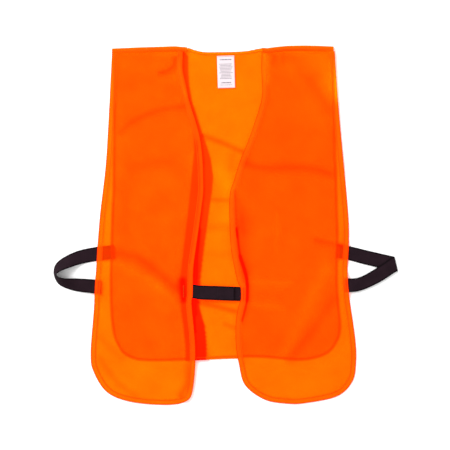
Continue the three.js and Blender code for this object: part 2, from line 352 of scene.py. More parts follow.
def back_gather_shade(places):
    """The gather shade at each laid place of the back: from its creases, and from its pleat, partly its extra
    plies and partly painted shade in the fold.
    """
    x = places[:, 0]
    y = places[:, 1]
    outer, inner = pleat_folds(y)
    pleated = ease(x, inner - 2, inner + 1) * (1 - ease(x, outer - 0.8, outer + 0.8))
    return creased(places, BACK_CREASES)[1] + pleated * tabled(PLEAT_GATHER_SHADE, y)


def hinge(t):
    """0 before zero and t after it, with a rounded corner."""
    return (t + np.sqrt(t * t + PLEAT_ROUND**2)) / 2


def turned(t):
    """0 before zero and 1 after it: the slope of hinge()."""
    return (1 + t / np.sqrt(t * t + PLEAT_ROUND**2)) / 2


BACK_WAVES = (90, 0.35)  # wavelength and height
BACK_WAVE_LIMITS = (-0.3, 0.8)
CALM_EDGE = (4, 30)  # where the waves set in, from the back's edge, and from its pleat
CALM_PLEAT = (8, 22)


def lay_back(flat):
    """Where the back's cloth lies. flat is a place on the cloth with the pleat opened out."""
    u = flat[:, 0]
    y = flat[:, 1]
    outer, inner = pleat_folds(y)
    depth = outer - inner
    first = u - outer
    second = u - outer - depth
    x = u - 2 * hinge(first) + 2 * hinge(second)
    gap = pleat_gap(y)
    settled = 1 - ease(x, outer - 1, outer + PLEAT_SLOPE) * turned(second)
    z = BACK_Z + gap * (turned(first) + turned(second)) * settled
    places = np.column_stack([x, y])
    rise = creased(places, BACK_CREASES)[0]
    near, far = CALM_PLEAT
    calm = ease(within(places, BACK_OUTLINE), *CALM_EDGE) * ease(first, near + depth, far + depth)
    z = z + calm * (rise + np.clip(rolling(places, 3, *BACK_WAVES), *BACK_WAVE_LIMITS))
    return np.column_stack([x, y, z])


def unfolded(line):
    """The back's edge, walked from its lower left to its lower right, with the pleat opened out."""
    outer, inner = pleat_folds(line[:, 1])
    x = line[:, 0]
    first_past = int(np.argmax(x > outer))
    lower = line[:first_past]
    between = line[(x > inner) & (x < outer)]
    middle = np.column_stack([2 * pleat_folds(between[:, 1])[0] - between[:, 0], between[:, 1]])[::-1]
    upper = spread(line[int(np.argmax(x > inner)):])
    return np.vstack([lower, middle, upper])


def spread(line):
    """A line on the back's upper ply, with the pleat opened out."""
    outer, inner = pleat_folds(line[:, 1])
    return line + np.column_stack([2 * (outer - inner), np.zeros(len(line))])


BACK_OUTLINE = even(np.vstack([smooth(BACK_SIDE), smooth(BACK_NECK)]), 8)


def leg_middle(edges, count, first=True):
    """The middle line of one leg of an elastic, over its first or last points."""
    middle = (np.array(edges[0]) + np.array(edges[1])) / 2
    return middle[:count] if first else middle[-count:]


# What the fronts lie over: middle lines of webbing.
ELASTIC_LEGS = [
    leg_middle(RIGHT_ELASTIC, 4),
    leg_middle(RIGHT_ELASTIC, 4, first=False),
    leg_middle(LEFT_ELASTIC, 4),
    leg_middle(LEFT_ELASTIC, 3, first=False),
]
STRAP_LEGS = [
    np.array([(-80, -119, 4.2), (-50, -121, 4.2)]),
    np.array([(20, -124, 2.6), (37, -124.5, 2.6)]),
]


OVER_WEBBING = 2.1  # from the middle of webbing to the middle of the cloth over it
WEBBING_SLOPE = (1, 16)  # past the webbing's edge, where the cloth comes down


def cleared(places, z):
    """z, raised where the cloth lies over webbing."""
    half = STRAP_WIDTH / 2
    near, far = WEBBING_SLOPE
    for leg in ELASTIC_LEGS + STRAP_LEGS:
        distance, stretch, share = nearest(places, leg)
        top = leg[stretch, 2] * (1 - share) + leg[stretch + 1, 2] * share + OVER_WEBBING
        held = 1 - ease(distance, half + near, half + far)
        z = np.maximum(z, top * held + z * (1 - held))
    return z


FRONT_SLOPE = (-17, 4)  # from the table up onto the back, by how far inside the back's edge
FRONT_WAVES = ((110, 0.5), (45, 0.16))  # wavelength and height
FRONT_DIP = 0.45  # how far a crease may sink towards the back
SEAM_RUN = 26  # the length over which a front rises to its shoulder seam


def lay_front(flat, creases, seed):
    """Where a front's cloth lies: over the back, and down on the table past the back's edge."""
    rise = creased(flat, creases)[0]
    over = ease(within(flat, BACK_OUTLINE), *FRONT_SLOPE)
    z = TABLE_Z + (OVER_BACK_Z - TABLE_Z) * over
    z = z + pleat_rise(flat)
    waves = sum(rolling(flat, seed + i, *wave) for i, wave in enumerate(FRONT_WAVES))
    z = z + np.maximum(rise + waves, -FRONT_DIP * over)
    near_top = ease(flat[:, 1], PANEL_TOP - SEAM_RUN, PANEL_TOP)
    z = z + near_top * (SEAM_TOP_Z - z)
    return np.column_stack([flat[:, :2], cleared(flat, z)])


def lay_right(flat):
    return lay_front(flat, RIGHT_CREASES, 11)


def lay_left(flat):
    return lay_front(flat, LEFT_CREASES, 23)


# ---- mesh making


BOW_REACH = (230, 318)  # the y's between which the shoulders' bow sets in


def make(name, points, faces, material, gather_shade=None, cloth=None, closed=True):
    """A mesh from places in the plan's millimetres. cloth holds each point's place on the flat cloth."""
    bowed = np.array(points, float)
    bowed[:, 1] += tabled(SHOULDER_BOW, bowed[:, 0]) * ease(bowed[:, 1], *BOW_REACH)
    mesh = bpy.data.meshes.new(name)
    mesh.from_pydata(((bowed + PLAN_ZERO) * MM).tolist(), [], faces)
    if closed:
        work = bmesh.new()
        work.from_mesh(mesh)
        bmesh.ops.recalc_face_normals(work, faces=work.faces)
        work.to_mesh(mesh)
        work.free()
    mesh.polygons.foreach_set("use_smooth", [True] * len(mesh.polygons))
    if cloth is not None:
        gather_shade = np.zeros(len(points)) if gather_shade is None else gather_shade
        values = np.column_stack([cloth * MM, gather_shade])
        mesh.attributes.new("cloth", "FLOAT_VECTOR", "POINT").data.foreach_set("vector", values.ravel())
    mesh.materials.append(material)
    obj = bpy.data.objects.new(name, mesh)
    bpy.context.scene.collection.objects.link(obj)
    return obj


def skin(rings):
    """Faces round equal rings of points, with flat ends."""
    count, around = rings.shape[:2]
    index = np.arange(count * around).reshape(count, around)
    turned_on = np.roll(index, -1, axis=1)
    sides = np.stack([index[:-1], turned_on[:-1], turned_on[1:], index[1:]], -1).reshape(-1, 4)
    return sides.tolist() + [index[0, ::-1].tolist(), index[-1].tolist()]


def grid(rows, columns):
    """Faces between rows of points."""
    index = np.arange(rows * columns).reshape(rows, columns)
    quads = np.stack([index[:-1, :-1], index[:-1, 1:], index[1:, 1:], index[1:, :-1]], -1)
    return quads.reshape(-1, 4).tolist()


def pad(upper, lower):
    """Points and faces of a thin closed pad between two equal grids of points."""
    rows, columns = upper.shape[:2]
    count = rows * columns
    faces = grid(rows, columns)
    faces += [[i + count for i in reversed(quad)] for quad in grid(rows, columns)]
    index = np.arange(count).reshape(rows, columns)
    rim = np.concatenate([index[0], index[1:, -1], index[-1, -2::-1], index[-2:0:-1, 0]])
    faces += [[int(a), int(b), int(b + count), int(a + count)] for a, b in zip(rim, np.roll(rim, -1))]
    return np.vstack([upper.reshape(-1, 3), lower.reshape(-1, 3)]), faces


EDGE_GRAIN = GRAIN * 0.8  # spacing of the points round a panel
EDGE_CLEAR = GRAIN * 0.65  # how far inside the edge the other points stay
FOLD_STEP = 3.4  # spacing of the points along a fold, and the lines of points beside it
FOLD_LINES = np.array([-4.4, -2.4, -1.2, -0.5, 0, 0.5, 1.2, 2.4, 4.4])
FOLD_CLEAR = 1.2


def scattered(outline, folds):
    """Points all over the inside of an outline: in staggered rows, and in close lines along each fold."""
    coarse = outline[::3]
    low = outline.min(0)
    high = outline.max(0)
    rows = np.arange(low[1], high[1], GRAIN * math.sqrt(3) / 2)
    inner = []
    for i, y in enumerate(rows):
        xs = np.arange(low[0] + (i % 2) * GRAIN / 2, high[0], GRAIN)
        inner.append(np.column_stack([xs, np.full(len(xs), y)]))
    inner = np.vstack(inner)
    inner = inner[within(inner, coarse) > EDGE_CLEAR]
    for fold in folds:
        lines = np.vstack([fold + [offset, 0] for offset in FOLD_LINES])
        lines = lines[within(lines, coarse) > FOLD_CLEAR]
        inner = inner[nearest(inner, fold)[0] > FOLD_LINES[-1] + GRAIN / 2]
        inner = np.vstack([inner, lines])
    return inner


def panel(name, edges, lay, gather_shading, folds=()):
    """One ply of cloth inside a closed outline, laid by lay(). The mesh follows the folds closely."""
    inset = [edge + left_of(edge) * PANEL_INSET for edge in edges]
    outline = even(np.vstack(inset), EDGE_GRAIN)[:-1]
    flat = np.vstack([outline, scattered(outline, folds)])
    ring = list(range(len(outline)))
    sides = list(zip(ring, ring[1:] + ring[:1]))
    made = geometry.delaunay_2d_cdt(flat.tolist(), sides, [ring], 1, 1e-4)
    flat = np.array([tuple(v) for v in made[0]])
    faces = [list(face) for face in made[2]]
    points = lay(flat)
    obj = make(name, points, faces, panel_cloth, gather_shading(points), flat, closed=False)
    return obj, outline


# The folded strip's upper half, from its inner edge to its fold: (share of its width, height, gather shade).
# Its stitching presses a ditch into it; the ditch and the fold's edge get painted shade.
HEM_PROFILE = [
    (1.0, 0.45, 0.1), (0.92, 0.62, 0), (0.83, 0.5, 0.3), (0.72, 0.66, 0), (0.51, 0.78, 0), (0.31, 0.76, 0),
    (0.15, 0.66, 0.15), (0.06, 0.42, 0.6), (0, 0, 0.9),
]
PUCKER = 9  # spacing of the puckers, and their share of the strip's size
PUCKER_DEPTH = 0.25

# How much of the profile's painted shade a strip shows, and how much its gather shade is lowered from its
# cloth's.
BACK_EDGE_LOOK = (0, 0)
NECK_LOOK = (1.7, 0.45)
FRONT_EDGE_LOOK = (1.5, 0.22)


def hem(name, edge, lay, width, look, seed, gather_shading):
    """A strip folded over a cloth's edge, with the small puckers that its stitching makes."""
    profile_shade, thinner = look
    line = even(edge, HEM_STEP)
    inward = left_of(line)
    travel = lengths(line)
    random = np.random.RandomState(seed)
    knots = np.arange(0, travel[-1] + PUCKER, PUCKER)
    wobble = np.interp(travel, knots, random.uniform(-1, 1, len(knots)))
    lower = [(share, -height, gather_shade) for share, height, gather_shade in HEM_PROFILE[-2::-1]]
    profile = HEM_PROFILE + lower
    rings = []
    flat = []
    gather_shade = []
    for share, height, fold_shade in profile:
        reach = share * width + PUCKER_DEPTH * wobble * share
        place = lay(line + inward * reach[:, None])
        gather_shade.append(fold_shade * profile_shade + gather_shading(place) - thinner)
        place[:, 2] += height * (1 + PUCKER_DEPTH * wobble * (1 - abs(2 * share - 1)))
        rings.append(place)
        across = math.copysign(2 * share * width, height)
        flat.append(np.column_stack([travel, np.full(len(travel), across)]))
    rings = np.stack(rings, 1)
    return make(
        name, rings.reshape(-1, 3), grid(len(line), len(profile)), hem_cloth,
        np.stack(gather_shade, 1).ravel(), np.stack(flat, 1).reshape(-1, 2),
    )


# A stitch's rings of points: (place from its middle to its ends, share of its radius).
STITCH_RINGS = np.array([(-1.0, 0.45), (-0.62, 0.95), (0.0, 1.0), (0.62, 0.95), (1.0, 0.45)])
STITCH_SIDES = 6


def stitches(name, starts, ends, material, radius=THREAD, arch=0.16):
    """One short length of thread from each start to each end, bowed up in its middle."""
    middle = (starts + ends) / 2
    half = (ends - starts) / 2
    along = half / np.linalg.norm(half, axis=1)[:, None]
    side = np.cross(along, [0, 0, 1])
    side /= np.linalg.norm(side, axis=1)[:, None]
    up = np.cross(side, along)
    rings = []
    for place, size in STITCH_RINGS:
        for turn in np.arange(STITCH_SIDES) * 2 * math.pi / STITCH_SIDES:
            reach = radius * size * (side * math.cos(turn) + up * math.sin(turn))
            rings.append(middle + half * place + reach + up * arch * (1 - place * place))
    points = np.stack(rings, 1)
    ring = np.arange(len(STITCH_RINGS) * STITCH_SIDES).reshape(1, len(STITCH_RINGS), STITCH_SIDES)
    faces = skin(np.zeros((len(STITCH_RINGS), STITCH_SIDES, 3)))
    each = ring.size
    every = [[i + n * each for i in face] for n in range(len(middle)) for face in faces]
    return make(name, points.reshape(-1, 3), every, material)


def stitch_row(line, lay, pitch, heights, gap=0.22):
    """Starts and ends of the stitches along a flat line, at each height over the cloth."""
    s = lengths(line)
    at = np.arange(pitch, s[-1] - pitch, pitch)
    starts = []
    ends = []
    for height in heights:
        for shift, kept in ((gap / 2, starts), (1 - gap / 2, ends)):
            place = lay(np.column_stack([np.interp(at + shift * pitch, s, line[:, i]) for i in (0, 1)]))
            place[:, 2] += height
            kept.append(place)
    return np.vstack(starts), np.vstack(ends)


# ---- materials


def node(tree, kind, settings=None, inputs=None):
    """A shader node with its settings, and its inputs by name or number: values, or sockets to link from."""
    made = tree.nodes.new("ShaderNode" + kind)
    for key, value in (settings or {}).items():
        setattr(made, key, value)
    for key, value in (inputs or {}).items():
        if isinstance(value, bpy.types.NodeSocket):
            tree.links.new(value, made.inputs[key])
        else:
            made.inputs[key].default_value = value
    return made


def maths(tree, operation, *values):
    return node(tree, "Math", {"operation": operation}, dict(enumerate(values))).outputs[0]


def blended(tree, factor, a, b):
    """Two colours mixed."""
    return node(tree, "Mix", {"data_type": "RGBA"}, {0: factor, 6: a, 7: b}).outputs[2]


def ranged(tree, value, low, high, to_low, to_high):
    return node(tree, "MapRange", {}, {0: value, 1: low, 2: high, 3: to_low, 4: to_high}).outputs[0]


def new_material(name):
    material = bpy.data.materials.new(name)
    material.use_nodes = True
    material.node_tree.nodes.clear()
    return material, material.node_tree


def output(tree, shader):
    node(tree, "OutputMaterial", {}, {"Surface": shader})


def cloth_place(tree):
    """The place on the flat cloth in metres, its two parts, and the gather shade painted there."""
    place = node(tree, "Attribute", {"attribute_name": "cloth"}).outputs["Vector"]
    parts = node(tree, "SeparateXYZ", {}, {0: place}).outputs
    flat = node(tree, "CombineXYZ", {}, {0: parts[0], 1: parts[1]}).outputs[0]
    return flat, parts[0], parts[1], parts[2]


def knit(tree, across, along, wale, course):
    """Columns of slanted knitted loops: their height from 0 to 1, and the grooves between columns."""
    column = maths(tree, "DIVIDE", across, wale)
    fold = maths(tree, "PINGPONG", column, 0.5)
    lean = maths(tree, "ADD", maths(tree, "DIVIDE", along, course), maths(tree, "MULTIPLY", fold, 0.9))
    loop = maths(tree, "SINE", maths(tree, "MULTIPLY", lean, 2 * math.pi))
    loop = maths(tree, "MULTIPLY_ADD", loop, 0.5, 0.5)
    groove = ranged(tree, fold, 0.02, 0.16, 0, 1)
    height = maths(tree, "MULTIPLY", maths(tree, "MULTIPLY_ADD", loop, 0.55, 0.45), groove)
    return height, groove


def noise(tree, vector, scale, detail=2.0, roughness=0.5):
    inputs = {"Vector": vector, "Scale": scale, "Detail": detail, "Roughness": roughness}
    return node(tree, "TexNoise", {}, inputs).outputs[0]


def bump(tree, height, strength, distance):
    return node(tree, "Bump", {}, {"Height": height, "Strength": strength, "Distance": distance}).outputs[0]


# deep and bright are the cloth's darker and lighter colours: random clouds of tone and painted shade mix
# them.
# glow is a painted red glow, for the dye's fluorescence. first and later are what one ply, and each ply under
# it, lets through. cover is how much of the first ply, and of each one under it, is thread and not open knit.
PANEL = {
    "deep": (1.0, 0.060, 0.0006, 1), "bright": (1.0, 0.100, 0.0009, 1),
    "glow": (1.0, 0.008, 0.0, 1), "glow_strength": 1.5,
    "first": (1.0, 0.285, 0.0015, 1), "later": (1.0, 1.0, 0.05, 1), "cover": (0.35, 0.31),
}
HEM = {
    "deep": (1.0, 0.100, 0.0008, 1), "bright": (1.0, 0.135, 0.0012, 1),
    "glow": (1.0, 0.014, 0.0, 1), "glow_strength": 0.9,
    "first": (1.0, 0.28, 0.0015, 1), "later": (1.0, 1.0, 0.05, 1), "cover": (0.58, 0.03),
}
FOLD_SHADE_RED = (0.75, 0.002, 0.0, 1)  # painted shade deep in tight folds, and tightly gathered cloth


def knitted(name, look, wale, course):
    """Fluorescent knit that lets light through. Its dye takes most of the green out of white light at the
    first ply and little more at the next, so a lower ply is clearer to what came through one already."""
    material, tree = new_material(name)
    flat, across, along, gather_shade = cloth_place(tree)
    height, groove = knit(tree, across, along, wale, course)
    clouds = noise(tree, flat, 22, 3.0, 0.6)
    fuzz = noise(tree, flat, 2600, 2.0)
    # Random clouds of tone, painted shade where the gather shade is high, and painted light on the knit's
    # loop tops against the dips between them.
    tone_and_shade = maths(tree, "MULTIPLY_ADD", gather_shade, -0.55, maths(tree, "MULTIPLY_ADD", clouds, 0.7, 0.15))
    tone_and_shade = maths(tree, "MULTIPLY_ADD", height, 0.25, tone_and_shade)
    base = blended(tree, tone_and_shade, look["deep"], look["bright"])
    # A high gather shade paints the deep red shade of tight folds and of the lines under the fronts' edges.
    base = blended(tree, ranged(tree, gather_shade, 0.35, 1.15, 0, 1), base, FOLD_SHADE_RED)
    rough = ranged(tree, fuzz, 0.2, 0.8, 0.72, 0.95)
    relief = maths(tree, "MULTIPLY_ADD", fuzz, 0.35, height)
    normal = bump(tree, relief, 0.55, 0.00022)
    cloth = node(tree, "BsdfPrincipled", {}, {
        "Base Color": base, "Roughness": rough, "Normal": normal, "Specular IOR Level": 0.02,
        "Sheen Weight": 0.04, "Sheen Roughness": 0.5, "Sheen Tint": (1.0, 0.3, 0.02, 1),
        "Emission Color": look["glow"], "Emission Strength": look["glow_strength"],
    }).outputs[0]
    lit_through = node(tree, "BsdfTranslucent", {}, {"Color": base, "Normal": normal}).outputs[0]
    solid = node(tree, "MixShader", {}, {0: 0.25, 1: cloth, 2: lit_through}).outputs[0]
    lower = maths(tree, "MINIMUM", node(tree, "LightPath").outputs["Transparent Depth"], 1.0)
    tint = blended(tree, lower, look["first"], look["later"])
    # The gather shade also lets less through and thickens the cover, which paints the creases darker still.
    clear = maths(tree, "MULTIPLY_ADD", gather_shade, -0.62, maths(tree, "MULTIPLY_ADD", clouds, 0.24, 0.88))
    clear = maths(tree, "MAXIMUM", maths(tree, "MULTIPLY_ADD", groove, -0.12, clear), 0.02)
    filtered = node(tree, "SeparateColor", {}, {0: tint}).outputs
    green = maths(tree, "MULTIPLY", filtered[1], clear)
    tint = node(tree, "CombineColor", {}, {0: filtered[0], 1: green, 2: filtered[2]}).outputs[0]
    through = node(tree, "BsdfTransparent", {}, {"Color": tint}).outputs[0]
    cover = ranged(tree, lower, 0, 1, *look["cover"])
    cover = maths(tree, "MULTIPLY_ADD", gather_shade, 0.12, cover)
    output(tree, node(tree, "MixShader", {}, {0: cover, 1: through, 2: solid}).outputs[0])
    return material


def thread_material(name, colour, glow):
    """Spun thread, with the slant of its twist."""
    material, tree = new_material(name)
    place = node(tree, "TexCoord").outputs["Object"]
    twist = node(tree, "TexWave", {"bands_direction": "DIAGONAL"}, {
        "Vector": place, "Scale": 900.0, "Distortion": 1.5, "Detail": 2.0,
    }).outputs["Fac"]
    light = [min(1, c * 1.5) for c in colour[:3]] + [1]
    base = blended(tree, twist, colour, light)
    # Any emission is a painted glow, for a dye's fluorescence.
    output(tree, node(tree, "BsdfPrincipled", {}, {
        "Base Color": base, "Roughness": 0.6, "Normal": bump(tree, twist, 0.5, 0.0001),
        "Specular IOR Level": 0.05, "Emission Color": colour, "Emission Strength": glow,
    }).outputs[0])
    return material


def webbing_material(name, across_pitch, along_pitch):
    """Black webbing: cross threads over lengthwise ribs, with lint and a faint dusty sheen."""
    material, tree = new_material(name)
    flat, along, across, _ = cloth_place(tree)
    weft = maths(tree, "SINE", maths(tree, "MULTIPLY", along, 2 * math.pi / along_pitch))
    warp = maths(tree, "SINE", maths(tree, "MULTIPLY", across, 2 * math.pi / across_pitch))
    weave = maths(tree, "MULTIPLY_ADD", maths(tree, "MULTIPLY", weft, warp), 0.5, 0.5)
    fuzz = noise(tree, flat, 1800, 2.0)
    worn = noise(tree, flat, 60, 3.0)
    light = maths(tree, "MULTIPLY_ADD", weave, 0.5, maths(tree, "MULTIPLY", worn, 0.6))
    middle = STRAP_WIDTH * MM / 2
    from_middle = maths(tree, "ABSOLUTE", maths(tree, "SUBTRACT", across, middle))
    light = maths(tree, "MULTIPLY", light, ranged(tree, from_middle, middle * 0.74, middle * 0.9, 1, 0))
    base = blended(tree, light, (0.003, 0.001, 0.002, 1), (0.022, 0.0098, 0.015, 1))
    relief = maths(tree, "MULTIPLY_ADD", fuzz, 0.4, weave)
    output(tree, node(tree, "BsdfPrincipled", {}, {
        "Base Color": base, "Roughness": ranged(tree, fuzz, 0.2, 0.8, 0.6, 0.9),
        "Normal": bump(tree, relief, 0.6, 0.00025), "Specular IOR Level": 0.06,
    }).outputs[0])
    return material


def nap_material(name, scale, strength):
    """Hook or loop tape: dense tiny dots of nylon."""
    material, tree = new_material(name)
    place = node(tree, "TexCoord").outputs["Object"]
    cells = node(tree, "TexVoronoi", {}, {"Vector": place, "Scale": scale}).outputs["Distance"]
    base = blended(tree, cells, (0.03, 0.03, 0.033, 1), (0.006, 0.006, 0.007, 1))
    output(tree, node(tree, "BsdfPrincipled", {}, {
        "Base Color": base, "Roughness": 0.5, "Normal": bump(tree, cells, strength, -0.0004),
    }).outputs[0])
    return material


def label_material():
    """White woven ribbon: a fine cross grain, with soft uneven whiteness."""
    material, tree = new_material("label_tape")
    flat, _, along, _ = cloth_place(tree)
    grain = maths(tree, "SINE", maths(tree, "MULTIPLY", along, 2 * math.pi / 0.0007))
    grain = maths(tree, "MULTIPLY_ADD", grain, 0.5, 0.5)
    clouds = noise(tree, flat, 90, 2.0)
    light = maths(tree, "MULTIPLY_ADD", grain, 0.3, maths(tree, "MULTIPLY", clouds, 0.7))
    base = blended(tree, light, (0.56, 0.48, 0.51, 1), (0.7, 0.62, 0.65, 1))
    output(tree, node(tree, "BsdfPrincipled", {}, {
        "Base Color": base, "Roughness": 0.5, "Normal": bump(tree, grain, 0.3, 0.0001),
    }).outputs[0])
    return material


def ink_material():
    material, tree = new_material("label_ink")
    place = node(tree, "TexCoord").outputs["Object"]
    base = blended(tree, noise(tree, place, 3000), (0.05, 0.04, 0.055, 1), (0.17, 0.14, 0.18, 1))
    output(tree, node(tree, "BsdfPrincipled", {}, {"Base Color": base, "Roughness": 0.7}).outputs[0])
    return material


panel_cloth = knitted("panel_cloth", PANEL, 0.00125, 0.00095)
hem_cloth = knitted("binding_cloth", HEM, 0.0011, 0.0009)
orange_thread = thread_material("orange_thread", (0.5, 0.028, 0.001, 1), 0.1)
black_thread = thread_material("black_thread", (0.018, 0.012, 0.016, 1), 0.0)
elastic_cloth = webbing_material("black_elastic", 0.0017, 0.0011)
webbing_cloth = webbing_material("black_webbing", 0.0013, 0.0009)
hook_nap = nap_material("hook_tape", 900, 0.8)
loop_nap = nap_material("loop_tape", 1400, 0.6)
label_cloth = label_material()
label_ink = ink_material()


# ---- panels, hems and their stitching

EDGE_STEP = 2  # spacing of an edge's points
PLEAT_SPAN = (-237, 310)


def settle(pieces, body):
    """The back's pieces ride on it; a front's pieces have their places baked into their meshes."""
    for piece in pieces:
        if body == "back":
            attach(piece, body)
        else:
            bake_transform(piece)


def placed(piece, node_name, body):
    """The piece stands for a CAD node and rides on its body."""
    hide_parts(node_name)
    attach(piece, body)


def hemmed(prefix, edge, lay, width, look, seed, gather_shading):
    """The hem along an edge and the thread rows that close it, above and below."""
    folded = hem(f"{prefix}_hem", edge, lay, width, look, seed, gather_shading)
    line = even(edge, 1.5)
    row = line + left_of(line) * (width - STITCH_INSET)
    starts, ends = stitch_row(row, lay, STITCH_PITCH, (STITCH_HEIGHT, -STITCH_HEIGHT))
    return folded, stitches(f"{prefix}_stitches", starts, ends, orange_thread)


def build_back():
    side = unfolded(even(smooth(BACK_SIDE), EDGE_STEP))
    neck = spread(even(smooth(BACK_NECK), EDGE_STEP))
    ys = np.arange(*PLEAT_SPAN, FOLD_STEP)
    outer, inner = pleat_folds(ys)
    folds = [np.column_stack([x, ys]) for x in (outer, 2 * outer - inner)]
    folds.append(spread(even(smooth(BACK_SHADE), FOLD_STEP)))
    cloth, outline = panel("back_cloth", [side, neck], lay_back, back_gather_shade, folds)
    edge_pieces = hemmed("back_edge", side, lay_back, BACK_HEM, BACK_EDGE_LOOK, 5, back_gather_shade)
    neck_pieces = hemmed("back_neck", neck, lay_back, BACK_HEM, NECK_LOOK, 6, back_gather_shade)
    pieces = [*edge_pieces, *neck_pieces]
    settle([cloth, *pieces], "back")
    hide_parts("back_panel")
    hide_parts("back_edge_binding")
    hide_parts("back_neck_binding")
    return cloth


def build_front(side, points, lay, creases, overall_shade, seed, folds=()):
    """A front with its hem. overall_shade is painted shade added to the gather shade all over it, as a denser
    knit would look too.
    """

    def gather_shading(places):
        return creased(places, creases)[1] + overall_shade

    edge = even(smooth(points), EDGE_STEP)
    cloth, outline = panel(f"{side}_front_cloth", [edge], lay, gather_shading, folds)
    pieces = hemmed(f"{side}_front", edge, lay, FRONT_HEM, FRONT_EDGE_LOOK, seed, gather_shading)
    settle([cloth, *pieces], f"{side}_front")
    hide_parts(f"{side}_front_panel")
    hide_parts(f"{side}_front_binding")


back_cloth = build_back()
left_shade_lines = [even(smooth(LEFT_SHADE), FOLD_STEP)]
build_front("right", RIGHT_FRONT, lay_right, RIGHT_CREASES, 0.0, 7)
build_front("left", LEFT_FRONT, lay_left, LEFT_CREASES, 0.06, 8, left_shade_lines)


# ---- shoulder seams

# The seam's section, round its outside and back round its inside: (past the seam line, height).
SEAM_SECTION = [
    (-1.0, 2.5), (1.5, 2.75), (4.0, 2.45), (6.2, 2.1), (7.7, 1.2), (8.2, 0), (7.7, -1.2), (6.2, -2.1),
    (4.0, -2.45), (1.5, -2.75), (-1.0, -2.5), (-0.6, -2.1), (1.5, -2.3), (4.0, -2.0), (6.4, -1.2), (7.2, 0),
    (6.4, 1.2), (4.0, 2.0), (1.5, 2.3), (-0.6, 2.1),
]
SEAM_Y = 314.5
SEAM_Z = 3.35
SEAM_STEP = 1.9
SEAM_PITCH = 2.6
# Its straight and its slanted stitches: both ends as (past the seam line, height), and the lean to the next.
OVERLOCK = [((1.6, 2.85), (1.6, 2.85), 0.78), ((2.2, 2.55), (7.2, 1.85), 0.5)]


def build_shoulder(side):
    """The seam that joins a front to the back: both turn into one roll, sewn through and overlocked."""
    left, right = sorted((SHOULDER_OUT[side], SHOULDER_IN[side]))
    x = np.arange(left, right + 0.1, SEAM_STEP)
    section = np.array(SEAM_SECTION)
    wobble = rolling(np.column_stack([x, x]), 31, 22, 0.16)[:, None]
    rings = np.zeros((len(x), len(section), 3))
    rings[:, :, 0] = x[:, None]
    rings[:, :, 1] = SEAM_Y + section[:, 0] - 0.3 * abs(wobble)
    rings[:, :, 2] = SEAM_Z + section[:, 1] * (1 + 0.18 * wobble)
    flat = np.stack([np.column_stack([x, np.full(len(x), a)]) for a in lengths(section)], 1)
    name = f"{side}_shoulder_roll"
    roll = make(name, rings.reshape(-1, 3), skin(rings), hem_cloth, cloth=flat.reshape(-1, 2))
    placed(roll, f"{side}_shoulder_seam", "back")
    at = np.arange(x[0] + 2, x[-1] - 4, SEAM_PITCH)
    starts = []
    ends = []
    for over in (1, -1):
        for start, end, lean in OVERLOCK:
            for (out, height), shift, kept in ((start, 0, starts), (end, lean * SEAM_PITCH, ends)):
                z = np.full(len(at), SEAM_Z + over * height)
                kept.append(np.column_stack([at + shift, np.full(len(at), SEAM_Y + out), z]))
    name = f"{side}_shoulder_stitches"
    sewn = stitches(name, np.vstack(starts), np.vstack(ends), orange_thread, FINE_THREAD, 0.2)
    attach(sewn, "back")


build_shoulder("right")
build_shoulder("left")


# ---- webbing

WEBBING_STEP = 1.6
SQUARENESS = 14  # how square its edges are
THIN_EDGE = 0.25  # its edge's share of its thickness


def webbing(name, edge_a, edge_b, material, ribs, rib_height):
    """A strip of webbing between two edge lines, with lengthwise ribs on both faces and rounded edges."""
    a, b = (smooth(edge, 24) for edge in (edge_a, edge_b))
    along = lengths((a + b) / 2)
    wanted = np.linspace(0, along[-1], round(along[-1] / WEBBING_STEP) + 1)
    a, b = (np.column_stack([np.interp(wanted, along, edge[:, i]) for i in range(3)]) for edge in (a, b))
    travel = np.gradient((a + b) / 2, axis=0)
    normal = np.cross(b - a, travel)
    normal /= np.linalg.norm(normal, axis=1)[:, None]
    share = np.linspace(0, 1, 3 * ribs + 1)
    round_off = np.maximum(np.sqrt(1 - np.abs(2 * share - 1) ** SQUARENESS), THIN_EDGE)
    relief = WEBBING_THICKNESS / 2 * round_off + rib_height * np.cos(2 * math.pi * ribs * share)
    rings = []
    flat = []
    for face, order in ((1, range(len(share))), (-1, reversed(range(len(share))))):
        for i in order:
            rings.append(a + (b - a) * share[i] + normal * face * relief[i])
            flat.append(np.column_stack([wanted, np.full(len(wanted), share[i] * STRAP_WIDTH)]))
    rings = np.stack(rings, 1)
    flat = np.stack(flat, 1)
    piece = make(name, rings.reshape(-1, 3), skin(rings), material, cloth=flat.reshape(-1, 2))
    return piece, flat[..., 0].ravel() / wanted[-1]


def build_elastic(side, edges):
    """A side elastic, in place of the CAD one, with its place baked into its mesh."""
    elastic, share = webbing(f"{side}_elastic", *edges, elastic_cloth, ribs=15, rib_height=0.1)
    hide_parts(f"{side}_side_elastic")
    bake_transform(elastic)


build_elastic("right", RIGHT_ELASTIC)
build_elastic("left", LEFT_ELASTIC)


def cad_corners(node_name):
    """The low and the high corner of a CAD node's box, in plan millimetres."""
    return [np.array(corner) / MM - PLAN_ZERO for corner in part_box(node_name)]


ELASTIC_TOP_Z = 3.8
HEM_TOP = 0.85  # a tack's middle over the middle of the cloth in a hem, and over one ply
PLY_TOP = 0.5
TACK_STITCHES = 34
TACK_REACH = 1.1  # of the zigzag, to each side


